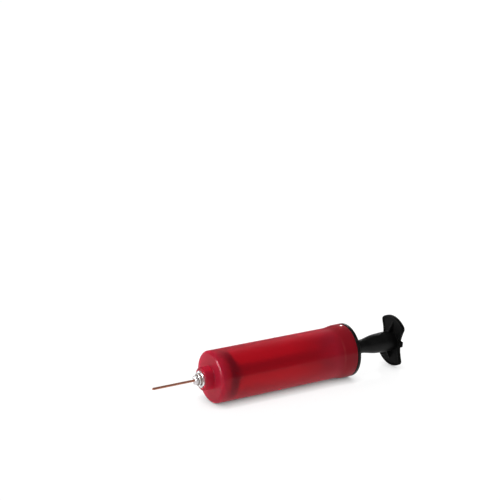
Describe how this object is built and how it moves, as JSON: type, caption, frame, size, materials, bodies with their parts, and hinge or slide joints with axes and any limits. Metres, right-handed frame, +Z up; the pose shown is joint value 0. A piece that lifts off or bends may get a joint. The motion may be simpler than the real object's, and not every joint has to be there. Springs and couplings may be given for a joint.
{
  "type": "ball inflation pump",
  "caption": "Hand-held ball pump: translucent barrel, screw-in ball needle, sliding plunger with cup seal, end cap and butterfly-shaped grip.",
  "frame": {"origin": "on the pump axis, half way between the needle's tip and the back of the grip, which is the centre of the bounding box at rest", "axes": "+X along the pump axis from the needle to the grip, +Z up with the pump lying on its side, +Y completes a right-handed frame"},
  "size_m": [0.1956, 0.038, 0.038],
  "materials": {
    "barrel": "glossy translucent dark red moulded plastic",
    "ferrule": "bright nickel plate over brass",
    "hub": "nickel plate, slightly dulled",
    "needle": "drawn copper-brown tube",
    "fibre": "brown fibre washer",
    "soft_rubber": "soft black rubber",
    "seal": "greased black rubber",
    "white_plastic": "natural nylon",
    "cap": "satin black moulded plastic",
    "backing": "satin black moulded plastic",
    "grip": "fine-textured black moulded plastic",
    "steel": "zinc-plated steel"
  },
  "bodies": {
    "barrel": {"barrel": "barrel", "nozzle_ferrule": "ferrule", "nozzle_gasket": "soft_rubber", "valve_cage": "white_plastic", "end_cap": "cap", "rod_bush": "white_plastic"},
    "seal": {"piston_seal": "seal"},
    "plunger": {"plunger_rod": "white_plastic", "handle": "grip", "handle_washer": "steel", "handle_screw": "steel", "piston_back": "backing", "piston_head": "white_plastic", "piston_washer": "steel", "piston_screw": "steel", "stop_bumper": "soft_rubber"},
    "valve": {"valve_disc": "soft_rubber"},
    "needle_seat": {"needle_washer": "fibre"},
    "needle": {"needle_hub": "hub", "needle_tube": "needle"}
  },
  "joints": [
    {"name": "plunger_slide", "type": "slide", "parent": "barrel", "child": "seal", "axis": [1, 0, 0], "range_m": [-0.001, 0.0795]},
    {"name": "plunger_spin", "type": "hinge", "parent": "seal", "child": "plunger", "pos_m": [0.04, 0, 0], "axis": [1, 0, 0], "continuous": true},
    {"name": "valve_lift", "type": "slide", "parent": "barrel", "child": "valve", "axis": [-1, 0, 0], "range_m": [0, 0.001]},
    {"name": "needle_advance", "type": "slide", "parent": "barrel", "child": "needle_seat", "axis": [-1, 0, 0], "range_m": [0, 0.00476]},
    {"name": "needle_turn", "type": "hinge", "parent": "needle_seat", "child": "needle", "pos_m": [-0.062, 0, 0], "axis": [-1, 0, 0], "range_deg": [0, 2177]}
  ],
  "couplings": [
    {"joint": "needle_turn", "follows": "needle_advance", "rad_per_m": 7915.8}
  ]
}
